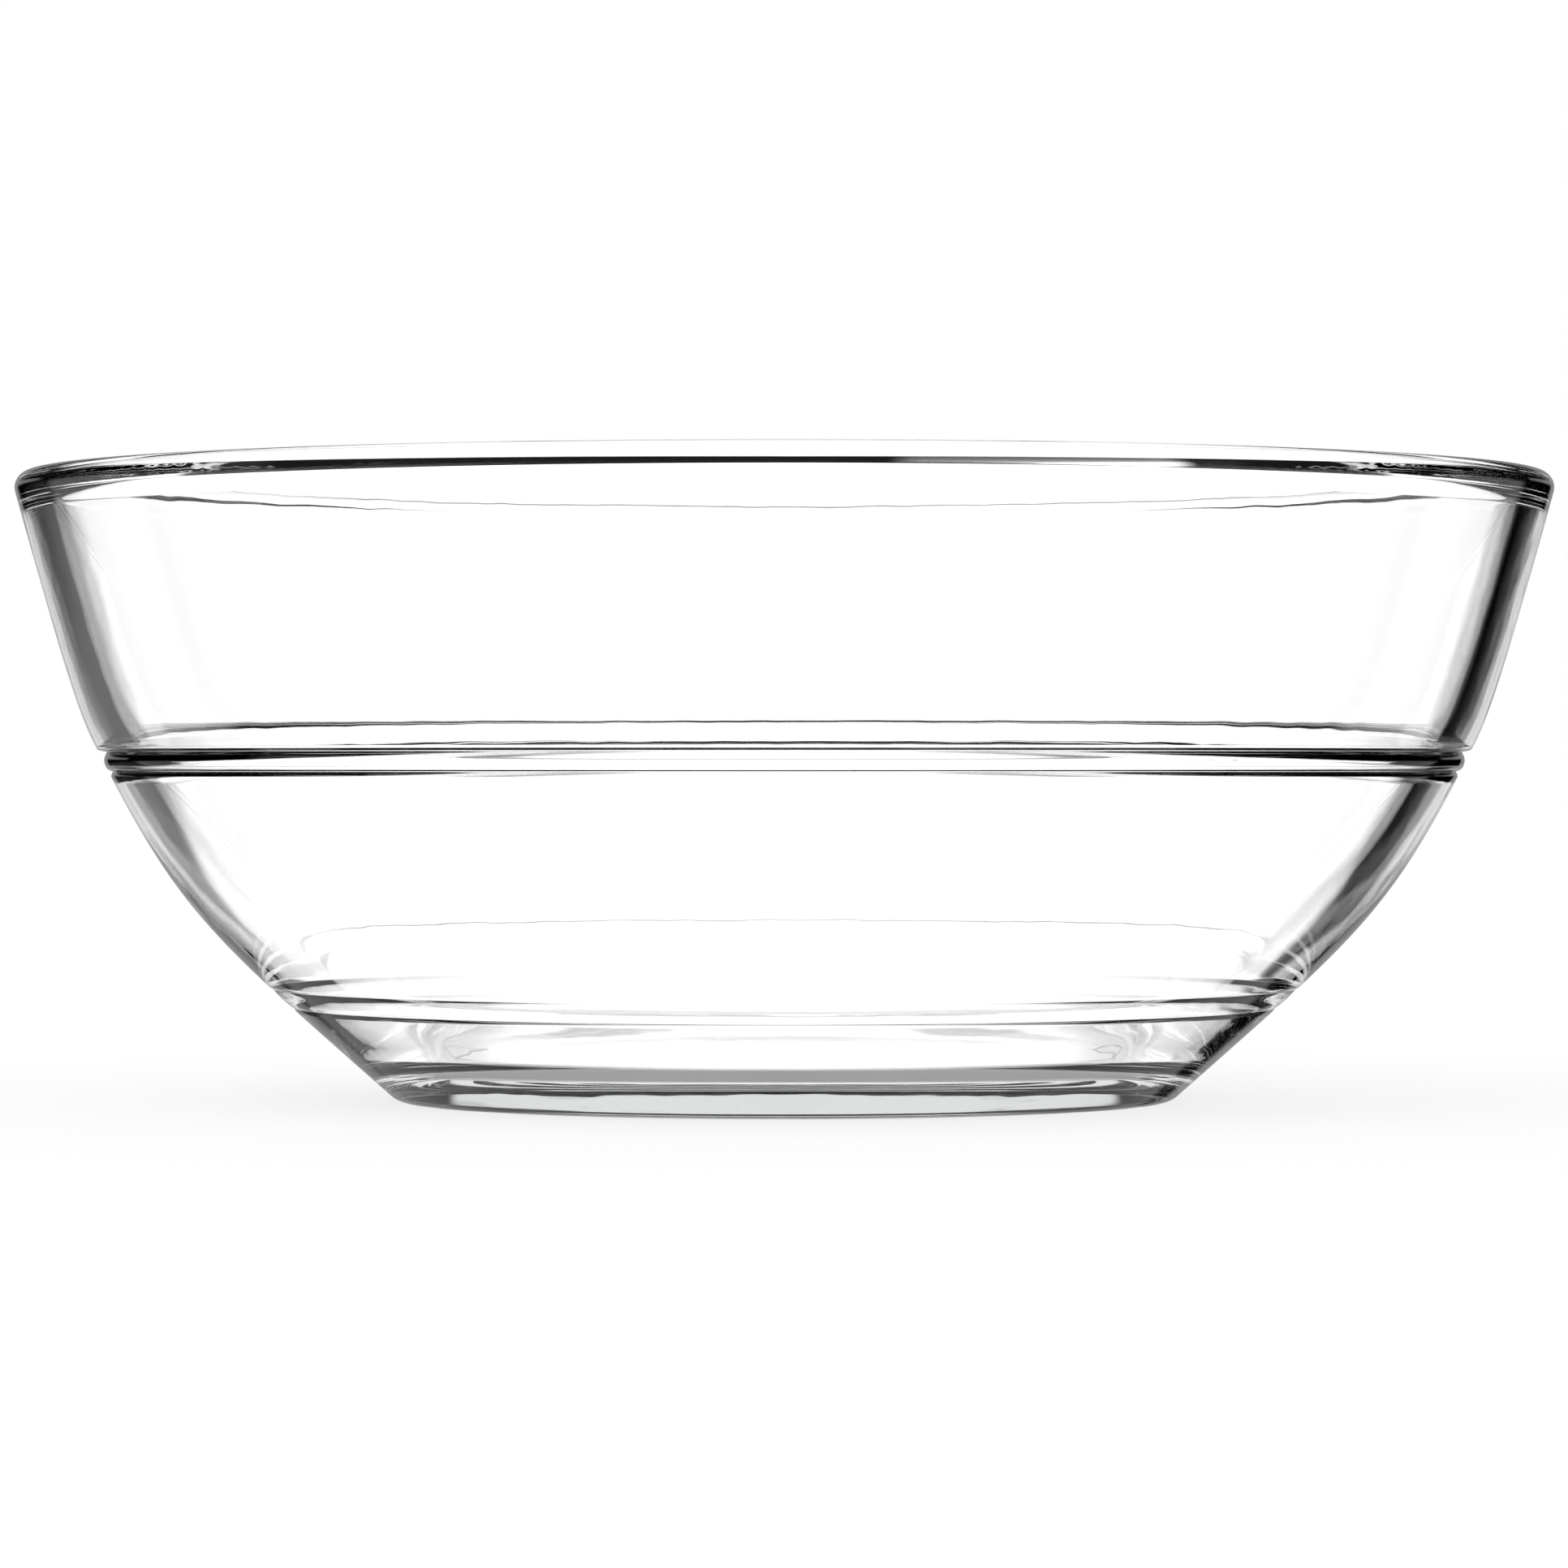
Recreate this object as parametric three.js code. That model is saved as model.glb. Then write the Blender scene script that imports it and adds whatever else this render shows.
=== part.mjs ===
// A clear pressed-glass salad bowl: one solid of revolution, in millimetres and degrees.
// +Z is up, and the origin is the centre of the plane that the bowl rests on.
import * as THREE from 'three';

// Overall size
const RIM_DIAMETER = 230;
const HEIGHT = 94;

// Glass thickness: the wall at the rim, the wall at the foot and the middle of the floor.
// The higher the power, the closer to the foot the wall does its thickening.
const RIM_WALL = 4.8;
const FOOT_WALL = 6.8;
const THICKENING_POWER = 4;
const FLOOR_THICKNESS = 7.6;

// The foot: its diameter where it meets the table, and its lean from the vertical
const FOOT_DIAMETER = 116;
const FOOT_LEAN = 48.3;

// The waist, where the rounded body turns into the straighter upper wall
const WAIST_HEIGHT_SHARE = 0.543;
const WAIST_DIAMETER_SHARE = 0.8864;
const WAIST_LEAN = 26.7;
const RIM_FLARE = 15.5;

// How far each end's direction is held along the body, as shares of the distance between the ends
const FOOT_PULL = 0.53;
const UNDER_WAIST_PULL = 0.39;
const OVER_WAIST_PULL = 0.15;
const RIM_PULL = 0.86;

// The underside: heel rounding, the flat ring that bears on the table and the shallow hollow inside it
const HEEL_SETBACK = 1.5;
const BEARING_WIDTH = 10;
const HOLLOW_DEPTH = 0.15;
const HOLLOW_BLEND_SHARE = 0.45;

// How far the inside curve between wall and floor climbs
const INNER_HEEL_RISE = 3.6;

// Two moulded bands, each with a crowned face between a pair of fine grooves.
// Tilt turns the face upright, a higher crown makes it flatter, run is a groove's shoulder for each
// millimetre of its depth, and a higher fall makes that shoulder softer.
const UPPER_BAND = { width: 2.98, depth: 0.85, tilt: 0.17, crown: 2.5, run: 0.95, fall: 1.3 };
const LOWER_BAND = { width: 4.2, depth: 0.15, tilt: 0, crown: 3, run: 6, fall: 2 };
const UPPER_BAND_DROP = 0.56;
const LOWER_BAND_HEIGHT = 15.4;

// The bead round the inside of the rim: the depth of its rounding, its thickness and the height of its flank
const LIP_DROP = 1.65;
const BEAD_THICKNESS = 1;
const BEAD_FLANK = 1.1;

// Facets
const TURN_STEPS = 72;
const BAND_STEPS = 6;
const SHOULDER_STEPS = 3;
const FOOT_STEPS = 3;
const BODY_STEPS = 6;
const UPPER_STEPS = 5;
const LIP_STEPS = 5;
const INNER_STEPS = 15;
const HEEL_STEPS = 4;
const SEARCH_STEPS = 40;

const footLean = THREE.MathUtils.degToRad(FOOT_LEAN);
const waistLean = THREE.MathUtils.degToRad(WAIST_LEAN);
const rimFlare = THREE.MathUtils.degToRad(RIM_FLARE);

// A point of the profile: distance from the axis, then height
function at(radius, height) {
  return new THREE.Vector2(radius, height);
}

// A point some way up a wall that leans out from the vertical
function upFrom(point, lean, distance) {
  return at(Math.sin(lean), Math.cos(lean)).multiplyScalar(distance).add(point);
}

// The outside of the body: one curve from the heel to the waist and one from the waist to the lip
const lipRadius = RIM_WALL / 2;
const lipCentre = at(RIM_DIAMETER / 2 - lipRadius, HEIGHT - lipRadius);
const lipStart = at(Math.cos(rimFlare), -Math.sin(rimFlare)).multiplyScalar(lipRadius).add(lipCentre);
const footCorner = at(FOOT_DIAMETER / 2, 0);
const heelTop = upFrom(footCorner, footLean, HEEL_SETBACK);
const waist = at((RIM_DIAMETER * WAIST_DIAMETER_SHARE) / 2, HEIGHT * WAIST_HEIGHT_SHARE);
const lowerSpan = heelTop.distanceTo(waist);
const upperSpan = waist.distanceTo(lipStart);
const lowerBody = new THREE.CubicBezierCurve(
  heelTop,
  upFrom(heelTop, footLean, FOOT_PULL * lowerSpan),
  upFrom(waist, waistLean, -UNDER_WAIST_PULL * lowerSpan),
  waist,
);
const upperBody = new THREE.CubicBezierCurve(
  waist,
  upFrom(waist, waistLean, OVER_WAIST_PULL * upperSpan),
  upFrom(lipStart, rimFlare, -RIM_PULL * upperSpan),
  lipStart,
);

// The body's point and direction at a parameter: 0 at the heel, 1 at the waist and 2 at the lip
function bodyAt(parameter) {
  const curve = parameter < 1 ? lowerBody : upperBody;
  const along = parameter < 1 ? parameter : parameter - 1;
  return { point: curve.getPoint(along), tangent: curve.getTangent(along) };
}

// The outside wall set in by a depth along its normal
function outside(parameter, depth) {
  const { point, tangent } = bodyAt(parameter);
  return at(-tangent.y, tangent.x).multiplyScalar(depth).add(point);
}

// The inside wall: the glass gets thicker from the lip down to the foot
function inside(parameter) {
  const share = (lipStart.y - bodyAt(parameter).point.y) / (lipStart.y - heelTop.y);
  return outside(parameter, THREE.MathUtils.lerp(RIM_WALL, FOOT_WALL, share ** THICKENING_POWER));
}

// The parameter at which a wall reaches a height
function parameterAt(wall, height) {
  let low = 0;
  let high = 2;
  for (let step = 0; step < SEARCH_STEPS; step += 1) {
    const middle = (low + high) / 2;
    if (wall(middle).y < height) {
      low = middle;
    } else {
      high = middle;
    }
  }
  return (low + high) / 2;
}

function outsideParameter(height) {
  return parameterAt((parameter) => outside(parameter, 0), height);
}

// One groove's shoulder, as distances from the band's middle with the depths there
function shoulderStations(band, side) {
  const half = band.width / 2;
  const groove = band.depth + side * band.tilt * half;
  const stations = [];
  for (let step = 1; step <= SHOULDER_STEPS; step += 1) {
    const part = step / SHOULDER_STEPS;
    stations.push([side * (half + band.run * groove * part), groove * (1 - part) ** band.fall]);
  }
  return stations;
}

// A moulded band: its face flush with the wall in the middle, and let into it at the grooves on both sides
function bandPoints(height, band) {
  const rise = bodyAt(outsideParameter(height)).tangent.y;
  const half = band.width / 2;
  const face = [];
  for (let step = 0; step <= BAND_STEPS; step += 1) {
    const part = (2 * step) / BAND_STEPS - 1;
    face.push([half * part, band.depth * Math.abs(part) ** band.crown + band.tilt * half * part]);
  }
  const stations = [...shoulderStations(band, -1).reverse(), ...face, ...shoulderStations(band, 1)];
  return stations.map(([distance, depth]) => (
    outside(outsideParameter(height + distance * rise), depth)
  ));
}

// Plain wall between two points of the profile, without either end
function wallBetween(start, end, steps) {
  const from = outsideParameter(start.y);
  const to = outsideParameter(end.y);
  const points = [];
  for (let step = 1; step < steps; step += 1) {
    points.push(outside(THREE.MathUtils.lerp(from, to, step / steps), 0));
  }
  return points;
}

// The underside, from the axis to the top of the heel
function undersidePoints() {
  const bearingEdge = at(footCorner.x - HEEL_SETBACK, 0);
  const hollowEdge = at(bearingEdge.x - BEARING_WIDTH, 0);
  const blend = hollowEdge.x * HOLLOW_BLEND_SHARE;
  const hollowFlat = at(hollowEdge.x - blend, HOLLOW_DEPTH);
  const hollow = new THREE.CubicBezierCurve(
    hollowFlat,
    at(hollowFlat.x + blend / 2, HOLLOW_DEPTH),
    at(hollowEdge.x - blend / 2, 0),
    hollowEdge,
  );
  const heel = new THREE.QuadraticBezierCurve(bearingEdge, footCorner, heelTop);
  return [at(0, HOLLOW_DEPTH), ...hollow.getPoints(HEEL_STEPS), ...heel.getPoints(HEEL_STEPS)];
}

// The outside wall with its two bands, above the heel and below the lip
function outsidePoints() {
  const lowerBand = bandPoints(LOWER_BAND_HEIGHT, LOWER_BAND);
  const upperBand = bandPoints(waist.y - UPPER_BAND_DROP, UPPER_BAND);
  return [
    ...wallBetween(heelTop, lowerBand.at(0), FOOT_STEPS),
    ...lowerBand,
    ...wallBetween(lowerBand.at(-1), upperBand.at(0), BODY_STEPS),
    ...upperBand,
    ...wallBetween(upperBand.at(-1), lipStart, UPPER_STEPS),
  ];
}

// The inside wall's distance from the axis just under the lip, where it is straight
function rimInsideRadius(height) {
  const top = inside(2);
  return top.x - (top.y - height) * Math.tan(rimFlare);
}

// The lip: round on the outside, then over the crest to the face of the bead and down its straight flank
function lipPoints() {
  const faceHeight = HEIGHT - LIP_DROP;
  const faceRadius = rimInsideRadius(faceHeight) - BEAD_THICKNESS;
  const flankEnd = faceHeight - BEAD_FLANK;
  const round = new THREE.EllipseCurve(
    lipCentre.x,
    lipCentre.y,
    lipRadius,
    lipRadius,
    -rimFlare,
    Math.PI / 2,
  );
  const brow = new THREE.EllipseCurve(
    lipCentre.x,
    faceHeight,
    lipCentre.x - faceRadius,
    LIP_DROP,
    Math.PI / 2,
    Math.PI,
  );
  return [
    ...round.getPoints(LIP_STEPS),
    ...brow.getPoints(LIP_STEPS).slice(1),
    at(rimInsideRadius(flankEnd), flankEnd),
  ];
}

// The inside, down the wall from the bead and round the inner heel to the axis on the floor
function insidePoints() {
  const start = parameterAt(inside, HEIGHT - LIP_DROP - BEAD_FLANK);
  const end = parameterAt(inside, FLOOR_THICKNESS + INNER_HEEL_RISE);
  const points = [];
  for (let step = 1; step < INNER_STEPS; step += 1) {
    points.push(inside(THREE.MathUtils.lerp(start, end, step / INNER_STEPS)));
  }
  const wallEnd = inside(end);
  const along = bodyAt(end).tangent;
  const setback = INNER_HEEL_RISE / along.y;
  const corner = along.multiplyScalar(-setback).add(wallEnd);
  const heel = new THREE.QuadraticBezierCurve(wallEnd, corner, at(corner.x - setback, corner.y));
  return [...points, ...heel.getPoints(HEEL_STEPS), at(0, FLOOR_THICKNESS)];
}

const glass = new THREE.MeshStandardMaterial({
  color: 0xe9eeec,
  roughness: 0.04,
  metalness: 0,
  transparent: true,
  opacity: 0.35,
});

function glassBowl() {
  const profile = [...undersidePoints(), ...outsidePoints(), ...lipPoints(), ...insidePoints()];
  const mesh = new THREE.Mesh(new THREE.LatheGeometry(profile, TURN_STEPS), glass);
  mesh.name = 'glass_bowl';
  mesh.rotation.x = Math.PI / 2;
  return mesh;
}

const bowl = new THREE.Group();
bowl.add(glassBowl());

export default bowl;
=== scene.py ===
import math

import bpy
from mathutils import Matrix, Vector


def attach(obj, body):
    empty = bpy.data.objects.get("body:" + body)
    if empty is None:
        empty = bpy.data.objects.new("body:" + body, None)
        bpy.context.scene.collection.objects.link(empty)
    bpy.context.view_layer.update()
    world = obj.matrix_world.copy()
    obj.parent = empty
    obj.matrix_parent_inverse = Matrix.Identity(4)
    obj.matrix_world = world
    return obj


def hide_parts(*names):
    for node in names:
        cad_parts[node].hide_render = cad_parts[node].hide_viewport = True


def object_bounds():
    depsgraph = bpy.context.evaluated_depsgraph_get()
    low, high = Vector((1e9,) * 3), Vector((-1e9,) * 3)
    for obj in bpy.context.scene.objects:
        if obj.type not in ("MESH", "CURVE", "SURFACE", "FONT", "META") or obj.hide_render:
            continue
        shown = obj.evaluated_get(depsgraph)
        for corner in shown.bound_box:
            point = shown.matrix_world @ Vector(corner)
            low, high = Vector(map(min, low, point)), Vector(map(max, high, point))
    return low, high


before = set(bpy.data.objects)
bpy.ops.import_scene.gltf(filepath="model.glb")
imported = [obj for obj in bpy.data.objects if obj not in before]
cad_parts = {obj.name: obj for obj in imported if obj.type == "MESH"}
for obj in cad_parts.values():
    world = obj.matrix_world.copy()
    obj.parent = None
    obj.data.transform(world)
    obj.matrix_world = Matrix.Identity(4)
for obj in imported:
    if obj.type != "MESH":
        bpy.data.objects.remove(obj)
cad_low, cad_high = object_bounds()

# The glass bowl: one gob of clear soda-lime glass, pressed in a mould and fire-polished.
# Foot, rounded body, two moulded bands, flared wall and beaded rim are all the same wall of glass.
# It stands loose on the flat ring under its foot, so nothing fixes it.
MM = 0.001
height = 94 * MM
rim_radius = cad_high.x
rim_wall = 4.8 * MM
foot_wall = 6.8 * MM
thickening_power = 4
floor_thickness = 7.6 * MM
foot_radius = 58 * MM
foot_lean = math.radians(48.3)
waist_height_share = 0.543
waist_radius_share = 0.8864
waist_lean = math.radians(26.7)
rim_flare = math.radians(15.5)

# How far each end's direction is held along the body, as shares of the distance between the ends
foot_pull = 0.53
under_waist_pull = 0.39
over_waist_pull = 0.15
rim_pull = 0.86

heel_setback = 1.5 * MM
bearing_width = 10 * MM
hollow_depth = 0.15 * MM
hollow_blend_share = 0.45
inner_heel_rise = 3.6 * MM

# Each band has a crowned face between two grooves. Tilt turns the face upright, a higher crown
# makes it flatter, run is a groove's shoulder for each millimetre of its depth, and a higher fall
# makes that shoulder softer.
upper_band = {
    "width": 2.98 * MM,
    "depth": 0.85 * MM,
    "tilt": 0.17,
    "crown": 2.5,
    "run": 0.95,
    "fall": 1.3,
}
lower_band = {
    "width": 4.2 * MM,
    "depth": 0.15 * MM,
    "tilt": 0,
    "crown": 3,
    "run": 6,
    "fall": 2,
}
upper_band_drop = 0.56 * MM
lower_band_height = 15.4 * MM
lip_drop = 1.65 * MM
bead_thickness = 1 * MM
bead_flank = 1.1 * MM

# Mesh steps round the axis and along each stretch of the profile
around_steps = 208
hollow_steps = 16
corner_steps = 20
foot_steps = 12
wall_steps = 40
band_steps = 80
lip_steps = 24
flank_steps = 16
inside_steps = 80
search_steps = 40
axis_radius = 1e-9


def up_from(point, lean, distance):
    return point + Vector((math.sin(lean), math.cos(lean))) * distance


lip_radius = rim_wall / 2
lip_centre = Vector((rim_radius - lip_radius, height - lip_radius))
lip_start = lip_centre + Vector((math.cos(rim_flare), -math.sin(rim_flare))) * lip_radius
foot_corner = Vector((foot_radius, 0))
heel_top = up_from(foot_corner, foot_lean, heel_setback)
waist = Vector((rim_radius * waist_radius_share, height * waist_height_share))
lower_span = (waist - heel_top).length
upper_span = (lip_start - waist).length
lower_body = (
    heel_top,
    up_from(heel_top, foot_lean, foot_pull * lower_span),
    up_from(waist, waist_lean, -under_waist_pull * lower_span),
    waist,
)
upper_body = (
    waist,
    up_from(waist, waist_lean, over_waist_pull * upper_span),
    up_from(lip_start, rim_flare, -rim_pull * upper_span),
    lip_start,
)


# The body's point and direction at a place: 0 at the heel, 1 at the waist and 2 at the lip
def on_body(place):
    a, b, c, d = lower_body if place < 1 else upper_body
    t = place if place < 1 else place - 1
    s = 1 - t
    point = a * s**3 + b * 3 * s * s * t + c * 3 * s * t * t + d * t**3
    along = (b - a) * s * s + (c - b) * 2 * s * t + (d - c) * t * t
    return point, along.normalized()


def outside(place, depth=0.0):
    point, along = on_body(place)
    return point + Vector((-along.y, along.x)) * depth


def inside(place):
    share = (lip_start.y - on_body(place)[0].y) / (lip_start.y - heel_top.y)
    return outside(place, rim_wall + (foot_wall - rim_wall) * share**thickening_power)


# The place at which a wall reaches a level
def place_at(wall, level):
    low, high = 0.0, 2.0
    for _ in range(search_steps):
        middle = (low + high) / 2
        if wall(middle).y < level:
            low = middle
        else:
            high = middle
    return (low + high) / 2


def steps(start, end, count):
    return [start + (end - start) * k / count for k in range(count + 1)]


def band_profile(level, band):
    rise = on_body(place_at(outside, level))[1].y
    half = band["width"] / 2
    lower_groove = band["depth"] - band["tilt"] * half
    upper_groove = band["depth"] + band["tilt"] * half
    start = -half - band["run"] * lower_groove
    end = half + band["run"] * upper_groove
    points = []
    for distance in steps(start, end, band_steps):
        groove = upper_groove if distance > 0 else lower_groove
        beyond = abs(distance) - half
        if beyond <= 0:
            crown = (abs(distance) / half) ** band["crown"]
            depth = band["depth"] * crown + band["tilt"] * distance
        else:
            depth = groove * max(0, 1 - beyond / (band["run"] * groove)) ** band["fall"]
        points.append(outside(place_at(outside, level + distance * rise), depth))
    return points


def wall_profile(below, above, count):
    ends = place_at(outside, below.y), place_at(outside, above.y)
    return [outside(place) for place in steps(*ends, count)[1:-1]]


def rounded_corner(start, corner, end, count):
    return [
        start * (1 - t) ** 2 + corner * 2 * t * (1 - t) + end * t * t
        for t in steps(0, 1, count)
    ]


def rim_inside_radius(level):
    top = inside(2)
    return top.x - (top.y - level) * math.tan(rim_flare)


def underside_profile():
    bearing_edge = Vector((foot_radius - heel_setback, 0))
    hollow_edge = bearing_edge.x - bearing_width
    blend = hollow_edge * hollow_blend_share
    profile = [Vector((0, hollow_depth))]
    for t in steps(0, 1, hollow_steps):
        left = 1 - t * t * (3 - 2 * t)
        profile.append(Vector((hollow_edge - blend * (1 - t), hollow_depth * left)))
    return profile + rounded_corner(bearing_edge, foot_corner, heel_top, corner_steps)


def outside_profile():
    lower = band_profile(lower_band_height, lower_band)
    upper = band_profile(waist.y - upper_band_drop, upper_band)
    profile = wall_profile(heel_top, lower[0], foot_steps) + lower
    profile += wall_profile(lower[-1], upper[0], wall_steps) + upper
    return profile + wall_profile(upper[-1], lip_start, wall_steps)


def lip_profile():
    face_level = height - lip_drop
    face_radius = rim_inside_radius(face_level) - bead_thickness
    profile = []
    for turn in steps(-rim_flare, math.pi / 2, lip_steps):
        profile.append(lip_centre + Vector((math.cos(turn), math.sin(turn))) * lip_radius)
    for turn in steps(math.pi / 2, math.pi, lip_steps)[1:]:
        across = math.cos(turn) * (lip_centre.x - face_radius)
        profile.append(Vector((lip_centre.x + across, face_level + math.sin(turn) * lip_drop)))
    for t in steps(0, 1, flank_steps)[1:]:
        level = face_level - bead_flank * t
        left = bead_thickness * (1 - t)
        profile.append(Vector((rim_inside_radius(level) - left, level)))
    return profile


def inside_profile():
    top = place_at(inside, height - lip_drop - bead_flank)
    bottom = place_at(inside, floor_thickness + inner_heel_rise)
    profile = [inside(place) for place in steps(top, bottom, inside_steps)[1:-1]]
    wall_end, along = inside(bottom), on_body(bottom)[1]
    setback = inner_heel_rise / along.y
    corner = wall_end - along * setback
    floor_edge = corner - Vector((setback, 0))
    profile += rounded_corner(wall_end, corner, floor_edge, corner_steps)
    profile.append(Vector((0, floor_thickness)))
    return profile


# A profile turned about the upright axis, with one vertex where it starts or ends on the axis
def turned(name, profile):
    vertices, rings, faces = [], [], []
    for point in profile:
        first = len(vertices)
        if point.x < axis_radius:
            vertices.append((0, 0, point.y))
            rings.append([first] * around_steps)
            continue
        for turn in steps(0, 2 * math.pi, around_steps)[:-1]:
            vertices.append((point.x * math.cos(turn), point.x * math.sin(turn), point.y))
        rings.append(list(range(first, first + around_steps)))
    for below, above in zip(rings, rings[1:]):
        for k in range(around_steps):
            after = (k + 1) % around_steps
            corners = below[k], below[after], above[after], above[k]
            faces.append(tuple(dict.fromkeys(corners)))
    mesh = bpy.data.meshes.new(name)
    mesh.from_pydata(vertices, [], faces)
    mesh.shade_smooth()
    piece = bpy.data.objects.new(name, mesh)
    bpy.context.scene.collection.objects.link(piece)
    return piece


bowl_profile = underside_profile() + outside_profile() + lip_profile() + inside_profile()
bowl = turned("pressed_glass_bowl", bowl_profile)

glass = bpy.data.materials.new("fire_polished_clear_glass")
glass.use_nodes = True
nodes, links = glass.node_tree.nodes, glass.node_tree.links
shader = nodes["Principled BSDF"]
shader.inputs["Base Color"].default_value = (1, 1, 1, 1)
shader.inputs["Transmission Weight"].default_value = 1
shader.inputs["IOR"].default_value = 1.52

# The faint ripple that pressing leaves, as a bump and as a trace of haze
place_on_glass = nodes.new("ShaderNodeTexCoord")
ripple = nodes.new("ShaderNodeTexNoise")
ripple.inputs["Scale"].default_value = 130
ripple.inputs["Detail"].default_value = 1
links.new(place_on_glass.outputs["Object"], ripple.inputs["Vector"])
press_bump = nodes.new("ShaderNodeBump")
press_bump.inputs["Strength"].default_value = 1
press_bump.inputs["Distance"].default_value = 0.01 * MM
links.new(ripple.outputs["Fac"], press_bump.inputs["Height"])
links.new(press_bump.outputs["Normal"], shader.inputs["Normal"])
haze = nodes.new("ShaderNodeMapRange")
haze.inputs["To Max"].default_value = 0.01
links.new(ripple.outputs["Fac"], haze.inputs["Value"])
links.new(haze.outputs["Result"], shader.inputs["Roughness"])

# Thick glass is darker than thin
glass_depth = nodes.new("ShaderNodeVolumeAbsorption")
glass_depth.inputs["Color"].default_value = (0.06, 0.1, 0.085, 1)
glass_depth.inputs["Density"].default_value = 5
links.new(glass_depth.outputs["Volume"], nodes["Material Output"].inputs["Volume"])

# Lamp light and light from the table pass straight through
lamp_light = nodes.new("ShaderNodeBsdfTransparent")
lamp_light.inputs["Color"].default_value = (0.96, 0.965, 0.963, 1)
ray = nodes.new("ShaderNodeLightPath")
soft_ray = nodes.new("ShaderNodeMath")
soft_ray.operation = "MAXIMUM"
links.new(ray.outputs["Is Shadow Ray"], soft_ray.inputs[0])
links.new(ray.outputs["Is Diffuse Ray"], soft_ray.inputs[1])
pass_light = nodes.new("ShaderNodeMixShader")
links.new(soft_ray.outputs[0], pass_light.inputs["Fac"])
links.new(shader.outputs["BSDF"], pass_light.inputs[1])
links.new(lamp_light.outputs["BSDF"], pass_light.inputs[2])
links.new(pass_light.outputs["Shader"], nodes["Material Output"].inputs["Surface"])
bowl.data.materials.append(glass)
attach(bowl, "root")
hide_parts("glass_bowl")

# The table: a wide sheet of matt white laminate, which the bowl's foot rests on.
# It is lit by the room and keeps the bowl's soft shadow. The glass sees the studio's light below
# the bowl in place of it.
table_reach = 8
table_corners = [
    (-table_reach, -table_reach, 0),
    (table_reach, -table_reach, 0),
    (table_reach, table_reach, 0),
    (-table_reach, table_reach, 0),
]
table_mesh = bpy.data.meshes.new("white_table")
table_mesh.from_pydata(table_corners, [], [(0, 1, 2, 3)])
table = bpy.data.objects.new("white_table", table_mesh)
bpy.context.scene.collection.objects.link(table)
table.visible_glossy = False
table.visible_transmission = False
laminate = bpy.data.materials.new("matt_white_laminate")
laminate.use_nodes = True
shader = laminate.node_tree.nodes["Principled BSDF"]
shader.inputs["Base Color"].default_value = (0.97, 0.97, 0.97, 1)
shader.inputs["Roughness"].default_value = 0.9
shader.inputs["Specular IOR Level"].default_value = 0.0
table_mesh.materials.append(laminate)

# The shaded patch of table: the ring under the bowl's foot that the foot keeps the light from.
# It lies just below the table top, and only the glass sees it. It fades from the lit table
# inside the ring to full shade where the foot bears.
patch_inside = 42 * MM
patch_dark = 50 * MM
patch_drop = 0.3 * MM
patch_sides = 128
lit_level = 1.45
shaded_level = 0.4
patch_corners = [
    (radius * math.cos(turn), radius * math.sin(turn), -patch_drop)
    for radius in (patch_inside, foot_radius)
    for turn in steps(0, 2 * math.pi, patch_sides)[:-1]
]
patch_faces = []
for k in range(patch_sides):
    after = (k + 1) % patch_sides
    patch_faces.append((k, after, patch_sides + after, patch_sides + k))
patch_mesh = bpy.data.meshes.new("shaded_table_patch")
patch_mesh.from_pydata(patch_corners, [], patch_faces)
patch = bpy.data.objects.new("shaded_table_patch", patch_mesh)
bpy.context.scene.collection.objects.link(patch)
patch.visible_camera = False
patch.visible_diffuse = False
patch.visible_shadow = False
shade = bpy.data.materials.new("table_in_the_bowls_shade")
shade.use_nodes = True
nodes, links = shade.node_tree.nodes, shade.node_tree.links
shader = nodes["Principled BSDF"]
shader.inputs["Base Color"].default_value = (0, 0, 0, 1)
shader.inputs["Specular IOR Level"].default_value = 0.0
shader.inputs["Emission Color"].default_value = (1, 1, 1, 1)
from_axis = nodes.new("ShaderNodeVectorMath")
from_axis.operation = "LENGTH"
links.new(nodes.new("ShaderNodeTexCoord").outputs["Object"], from_axis.inputs[0])
shade_fade = nodes.new("ShaderNodeMapRange")
shade_fade.interpolation_type = "SMOOTHSTEP"
links.new(from_axis.outputs["Value"], shade_fade.inputs["Value"])
shade_fade.inputs["From Min"].default_value = patch_inside
shade_fade.inputs["From Max"].default_value = patch_dark
shade_fade.inputs["To Min"].default_value = lit_level
shade_fade.inputs["To Max"].default_value = shaded_level
links.new(shade_fade.outputs["Result"], shader.inputs["Emission Strength"])
patch_mesh.materials.append(shade)

# The studio: a white backdrop with dark card at the sides and above, as glass is photographed,
# so that clear walls stay white and every edge of the glass picks up a dark line.
# One soft lamp from above lights the table.
studio = bpy.data.worlds.new("studio")
studio.use_nodes = True
bpy.context.scene.world = studio
nodes, links = studio.node_tree.nodes, studio.node_tree.links


def math_node(tree, operation, *values):
    node = tree.nodes.new("ShaderNodeMath")
    node.operation = operation
    for socket, value in zip(node.inputs, values):
        if isinstance(value, (int, float)):
            socket.default_value = value
        else:
            tree.links.new(value, socket)
    return node.outputs[0]


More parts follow.
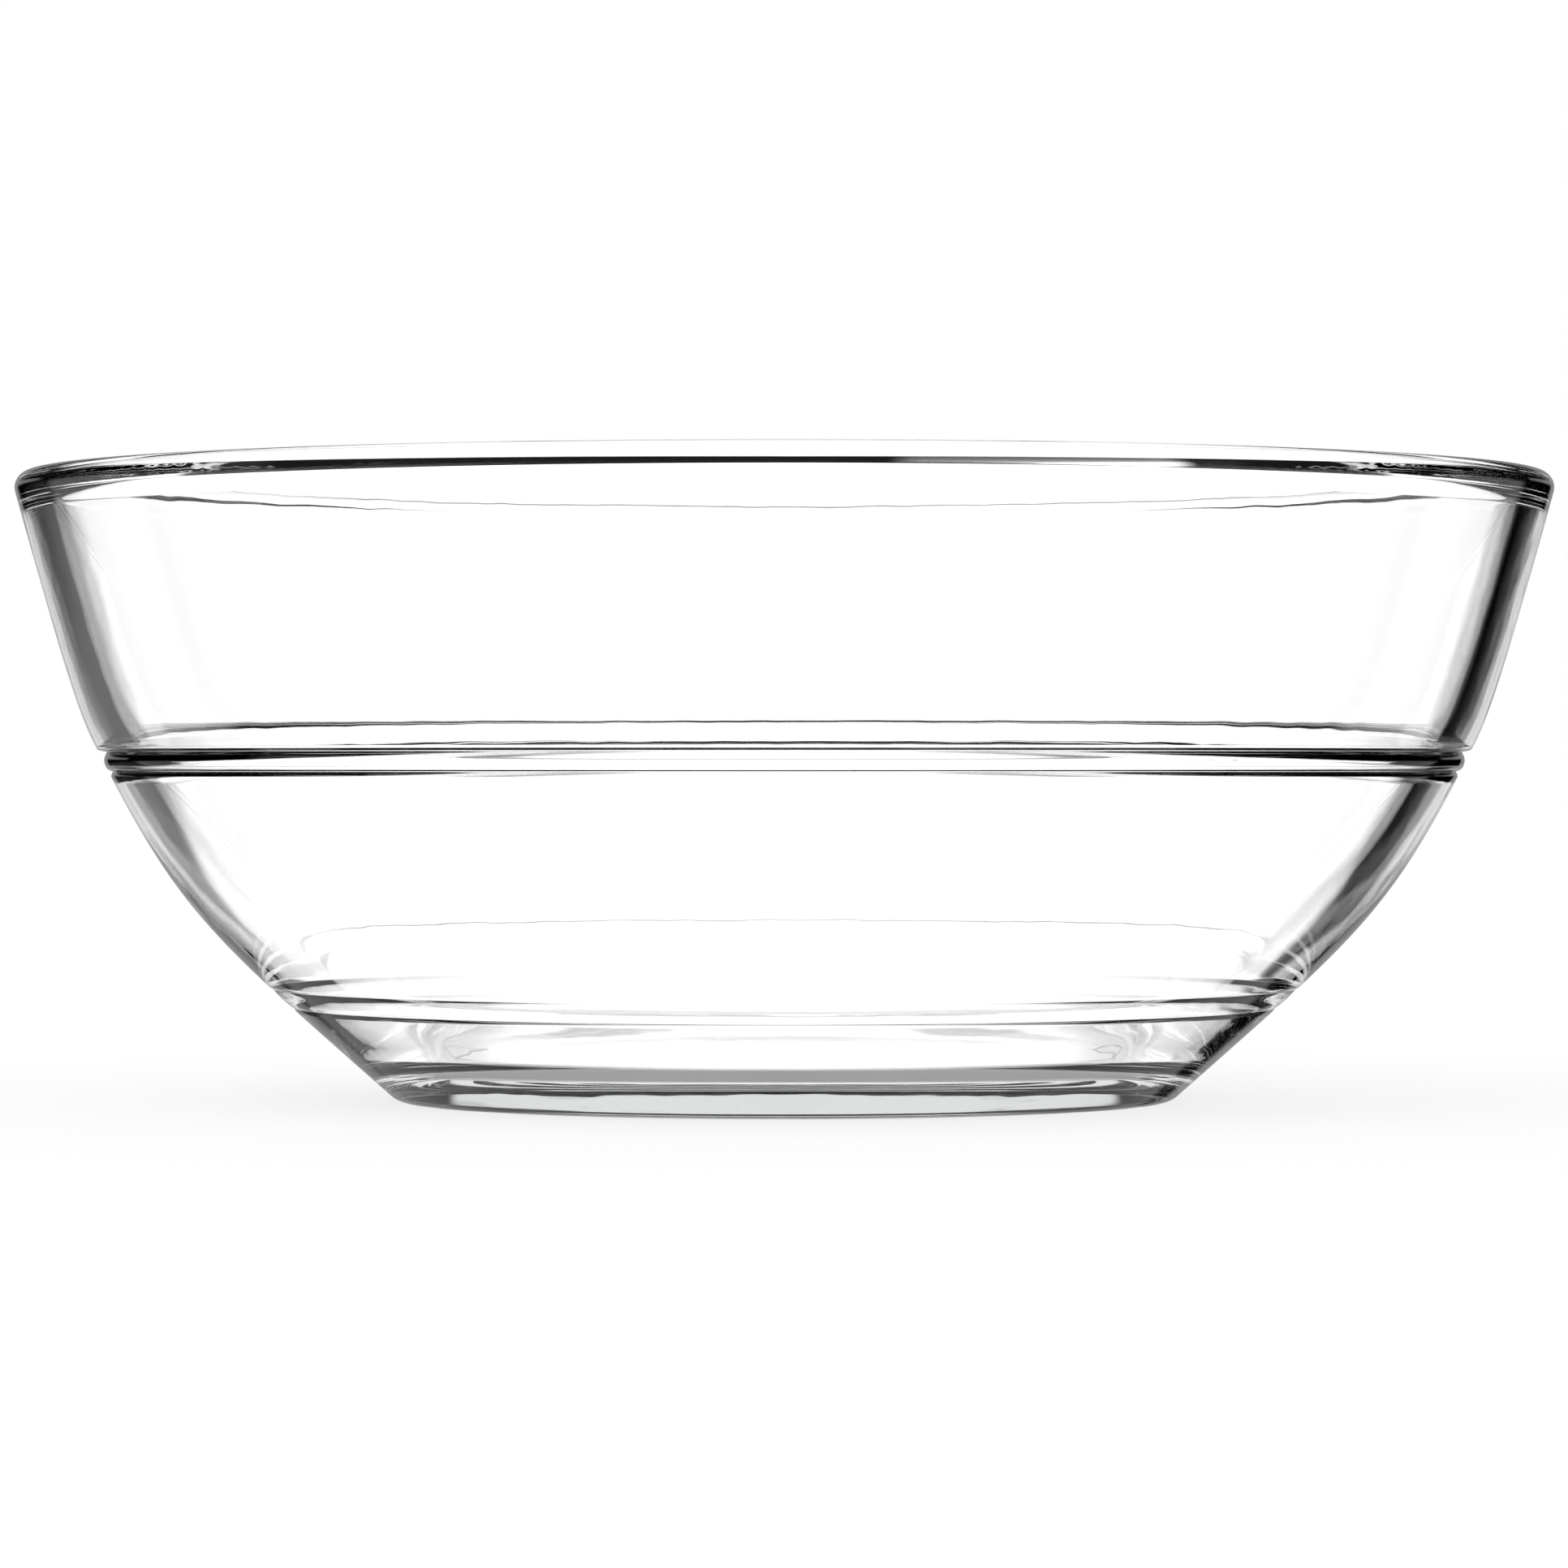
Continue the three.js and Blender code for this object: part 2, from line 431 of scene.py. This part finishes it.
# A soft-edged area of the studio, in degrees: 1 inside it and 0 outside
def light_window_group():
    group = bpy.data.node_groups.new("light_window", "ShaderNodeTree")
    sizes = ("Centre", "Half Width", "Bottom", "Top", "Arch", "Softness")
    for name in ("Bearing", "Elevation", *sizes):
        group.interface.new_socket(name, in_out="INPUT", socket_type="NodeSocketFloat")
    group.interface.new_socket("Mask", in_out="OUTPUT", socket_type="NodeSocketFloat")
    into = group.nodes.new("NodeGroupInput").outputs
    out = group.nodes.new("NodeGroupOutput").inputs

    def edge(value, level, first, last):
        fade = group.nodes.new("ShaderNodeMapRange")
        fade.interpolation_type = "SMOOTHSTEP"
        fade_start = math_node(group, "SUBTRACT", level, into["Softness"])
        fade_end = math_node(group, "ADD", level, into["Softness"])
        group.links.new(value, fade.inputs["Value"])
        group.links.new(fade_start, fade.inputs["From Min"])
        group.links.new(fade_end, fade.inputs["From Max"])
        fade.inputs["To Min"].default_value = first
        fade.inputs["To Max"].default_value = last
        return fade.outputs["Result"]

    turn = math_node(group, "SUBTRACT", into["Bearing"], into["Centre"])
    apart = math_node(group, "ABSOLUTE", math_node(group, "WRAP", turn, 180, -180))
    arch_drop = math_node(group, "MULTIPLY", apart, into["Arch"])
    arched_top = math_node(group, "SUBTRACT", into["Top"], arch_drop)
    side = edge(apart, into["Half Width"], 1, 0)
    bottom = edge(into["Elevation"], into["Bottom"], 0, 1)
    top = edge(into["Elevation"], arched_top, 1, 0)
    upright = math_node(group, "MULTIPLY", side, bottom)
    group.links.new(math_node(group, "MULTIPLY", upright, top), out["Mask"])
    return group


# Bearings run from straight behind the bowl towards its right, and elevations up from level
window_group = light_window_group()
direction = nodes.new("ShaderNodeTexCoord").outputs["Generated"]
towards = nodes.new("ShaderNodeSeparateXYZ")
links.new(direction, towards.inputs[0])
turn = math_node(studio.node_tree, "ARCTAN2", towards.outputs["X"], towards.outputs["Y"])
rise = math_node(studio.node_tree, "ARCSINE", towards.outputs["Z"])
bearing = math_node(studio.node_tree, "MULTIPLY", turn, math.degrees(1))
elevation = math_node(studio.node_tree, "MULTIPLY", rise, math.degrees(1))


def shown_area(level, centre, half_width, bottom, top, softness, arch=0):
    window = nodes.new("ShaderNodeGroup")
    window.node_tree = window_group
    links.new(bearing, window.inputs["Bearing"])
    links.new(elevation, window.inputs["Elevation"])
    window.inputs["Centre"].default_value = centre
    window.inputs["Half Width"].default_value = half_width
    window.inputs["Bottom"].default_value = bottom
    window.inputs["Top"].default_value = top
    window.inputs["Arch"].default_value = arch
    window.inputs["Softness"].default_value = softness
    return math_node(studio.node_tree, "MULTIPLY", window.outputs["Mask"], level)


def with_light(seen, level, **area):
    return math_node(studio.node_tree, "MAXIMUM", shown_area(level, **area), seen)


def with_card(seen, darkness, **area):
    kept = math_node(studio.node_tree, "ADD", shown_area(-darkness, **area), 1)
    return math_node(studio.node_tree, "MULTIPLY", kept, seen)


# White makes up for what four surfaces of glass take away
white = 1.45
side_white = 1.3
unlit = 0.012

# The backdrop, the strip of it that runs wider just above the table, and the lit table itself
seen = with_light(unlit, white, centre=0, half_width=18, bottom=-50, top=26, softness=2, arch=0.3)
seen = with_light(seen, white, centre=0, half_width=35, bottom=1, top=5, softness=1.5)
seen = with_light(seen, white, centre=0, half_width=64, bottom=-80, top=-4, softness=3)

# White boards at the left and at the front right, behind the bowl when it is seen from other sides
seen = with_light(seen, side_white, centre=-90, half_width=9, bottom=-24, top=26, softness=3)
seen = with_light(seen, side_white, centre=135, half_width=25, bottom=-45, top=5, softness=3)

# Dark cards at the left and the right, which the walls show, and one low down behind the bowl
seen = with_card(seen, 0.87, centre=-28, half_width=11.5, bottom=-18, top=1, softness=2)
seen = with_card(seen, 1, centre=27.5, half_width=10, bottom=-22, top=1, softness=2)
seen = with_card(seen, 1, centre=19, half_width=5, bottom=-22, top=-12, softness=2)
seen = with_card(seen, 0.8, centre=0, half_width=18, bottom=-50, top=-43, softness=1.5)

# What each kind of ray meets: the camera sees plain white, and the glass sees the areas above
mirror_share = 0.25
table_light = 0.85
ray = nodes.new("ShaderNodeLightPath").outputs
through = math_node(studio.node_tree, "MULTIPLY", ray["Is Transmission Ray"], seen)
bounced = math_node(studio.node_tree, "SUBTRACT", ray["Is Glossy Ray"], ray["Is Transmission Ray"])
bounced = math_node(studio.node_tree, "MAXIMUM", bounced, 0)
reflection = math_node(studio.node_tree, "MULTIPLY", seen, mirror_share)
mirrored = math_node(studio.node_tree, "MULTIPLY", bounced, reflection)
on_table = math_node(studio.node_tree, "MULTIPLY", ray["Is Diffuse Ray"], table_light)
level = math_node(studio.node_tree, "ADD", through, mirrored)
level = math_node(studio.node_tree, "ADD", level, on_table)
level = math_node(studio.node_tree, "ADD", level, ray["Is Camera Ray"])
links.new(level, nodes["Background"].inputs["Strength"])
nodes["Background"].inputs["Color"].default_value = (1, 1, 1, 1)

key_light = bpy.data.lights.new("key_softbox", "SUN")
key_light.energy = 0.7
key_light.angle = math.radians(50)
key_lamp = bpy.data.objects.new("key_softbox", key_light)
key_lamp.rotation_euler = (math.radians(25), math.radians(-20), 0)
key_lamp.visible_glossy = False
key_lamp.visible_transmission = False
bpy.context.scene.collection.objects.link(key_lamp)

bpy.context.scene.cycles.max_bounces = 40
bpy.context.scene.cycles.transmission_bounces = 40
bpy.context.scene.cycles.glossy_bounces = 24
bpy.context.scene.view_settings.view_transform = "Standard"

# The camera: a long lens level with the bowl's waist, about a metre away.
# Its focal length and aim are in pixels of the square picture.
picture_width = 1932
focal_length = 8569
aim_below_level = 16.5
aim_left = 0.5
camera_distance = 1.045
camera_height = 49.54 * MM
camera_data = bpy.data.cameras.new("camera")
camera_data.sensor_width = 36
camera_data.lens = camera_data.sensor_width * focal_length / picture_width
camera = bpy.data.objects.new("camera", camera_data)
camera.location = (0, -camera_distance, camera_height)
pitch = math.pi / 2 - math.atan(aim_below_level / focal_length)
camera.rotation_euler = (pitch, 0, math.atan(aim_left / focal_length))
bpy.context.scene.collection.objects.link(camera)
bpy.context.scene.camera = camera
